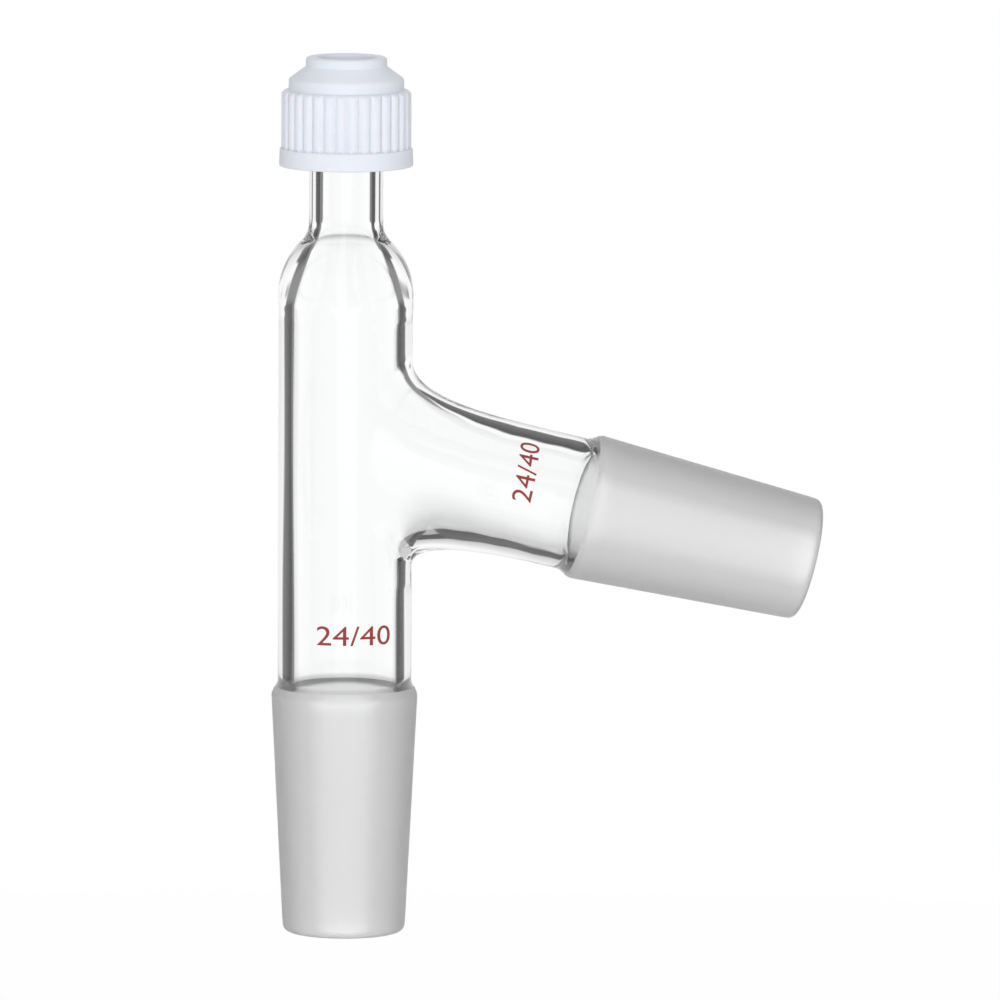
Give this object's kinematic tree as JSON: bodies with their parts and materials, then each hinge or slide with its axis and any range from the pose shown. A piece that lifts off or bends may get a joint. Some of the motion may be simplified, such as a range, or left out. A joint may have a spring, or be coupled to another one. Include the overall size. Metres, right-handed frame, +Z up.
{
  "type": "distillation head",
  "caption": "Glass still head with ground cones at its foot and on a sloping side arm, and a threaded neck whose screw cap squeezes a sealing ring on a thermometer.",
  "frame": {"origin": "centre of the rim at the foot of the lower ground joint", "axes": "+Z up the stem's axis to the cap, +X the way that the side arm leaves, seen from above"},
  "size_m": [0.0909, 0.024, 0.1446],
  "materials": {
    "glass_body": "clear, with both ground joints frosted",
    "screw_cap": "satin moulded",
    "seal_ring": "smooth"
  },
  "bodies": {
    "glass": {"glass_body": "glass_body"},
    "ring": {"seal_ring": "seal_ring"},
    "cap": {"screw_cap": "screw_cap"}
  },
  "joints": [
    {"name": "cap_lift", "type": "slide", "parent": "glass", "child": "ring", "axis": [0, 0, 1], "range_m": [0, 0.00876]},
    {"name": "cap_turn", "type": "hinge", "parent": "ring", "child": "cap", "pos_m": [0, 0, 0.1267], "axis": [0, 0, 1], "range_deg": [0, 1260]}
  ],
  "couplings": [
    {"joint": "cap_lift", "follows": "cap_turn", "m_per_rad": 0.00039789}
  ]
}
